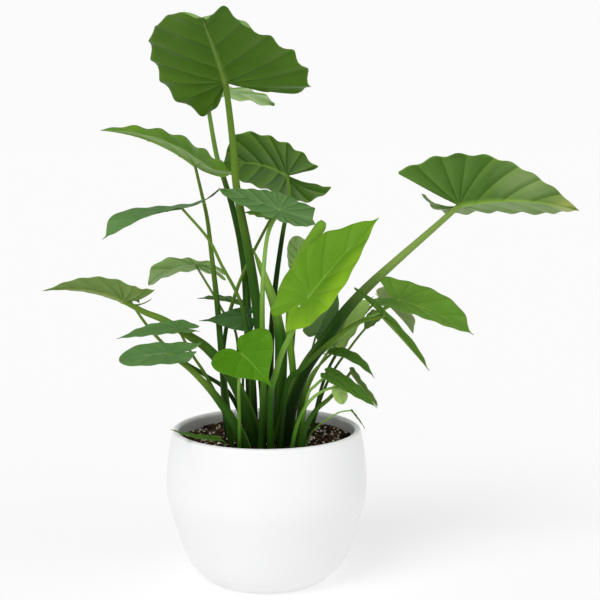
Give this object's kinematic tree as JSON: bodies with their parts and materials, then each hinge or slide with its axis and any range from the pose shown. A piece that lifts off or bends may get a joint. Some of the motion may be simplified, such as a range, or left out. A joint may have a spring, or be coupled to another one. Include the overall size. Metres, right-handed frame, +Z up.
{
  "type": "potted alocasia gageana",
  "caption": "Potted elephant-ear plant: broad arrow-shaped leaves with scalloped, waved edges on long upright stems, standing in soil in a bulbous white pot.",
  "frame": {"origin": "middle of the pot's flat base, on the surface that it stands on", "axes": "+Z up along the pot's axis; the plant is seen from the -Y side, with +X to the right"},
  "size_m": [0.7883, 0.3213, 0.8356],
  "materials": {
    "pot": "satin",
    "soil": "matte",
    "leaf": "satin",
    "young_leaf": "satin",
    "stem": "satin"
  },
  "bodies": {
    "root": {"pot": "pot", "soil": "soil", "leaf_back": "leaf", "leaf_behind_front": "leaf", "leaf_centre": "leaf", "leaf_centre_back": "leaf", "leaf_dark_left": "leaf", "leaf_far_left": "leaf", "leaf_far_left_small": "leaf", "leaf_folded": "leaf", "leaf_front": "leaf", "leaf_grey": "leaf", "leaf_ground": "young_leaf", "leaf_hanging_left": "leaf", "leaf_heart": "leaf", "leaf_left_narrow": "leaf", "leaf_left_round": "leaf", "leaf_lower_right": "leaf", "leaf_middle_left": "leaf", "leaf_narrow_right": "leaf", "leaf_pale_centre": "young_leaf", "leaf_pale_inner": "young_leaf", "leaf_pale_left": "young_leaf", "leaf_pale_right": "young_leaf", "leaf_right": "leaf", "leaf_rolled": "young_leaf", "leaf_round_pale": "young_leaf", "leaf_small_lower": "leaf", "leaf_small_upper": "leaf", "leaf_thread": "young_leaf", "leaf_top": "leaf", "leaf_top_back": "leaf", "leaf_upper_left": "leaf", "sheath": "stem", "stem_back": "stem", "stem_centre": "stem", "stem_far_left": "stem", "stem_folded": "stem", "stem_front": "stem", "stem_heart": "stem", "stem_left_narrow": "stem", "stem_left_round": "stem", "stem_lower_right": "stem", "stem_middle_left": "stem", "stem_pale_left": "stem", "stem_pale_right": "stem", "stem_right": "stem", "stem_top": "stem", "stem_top_back": "stem", "stem_upper_left": "stem"}
  },
  "joints": []
}
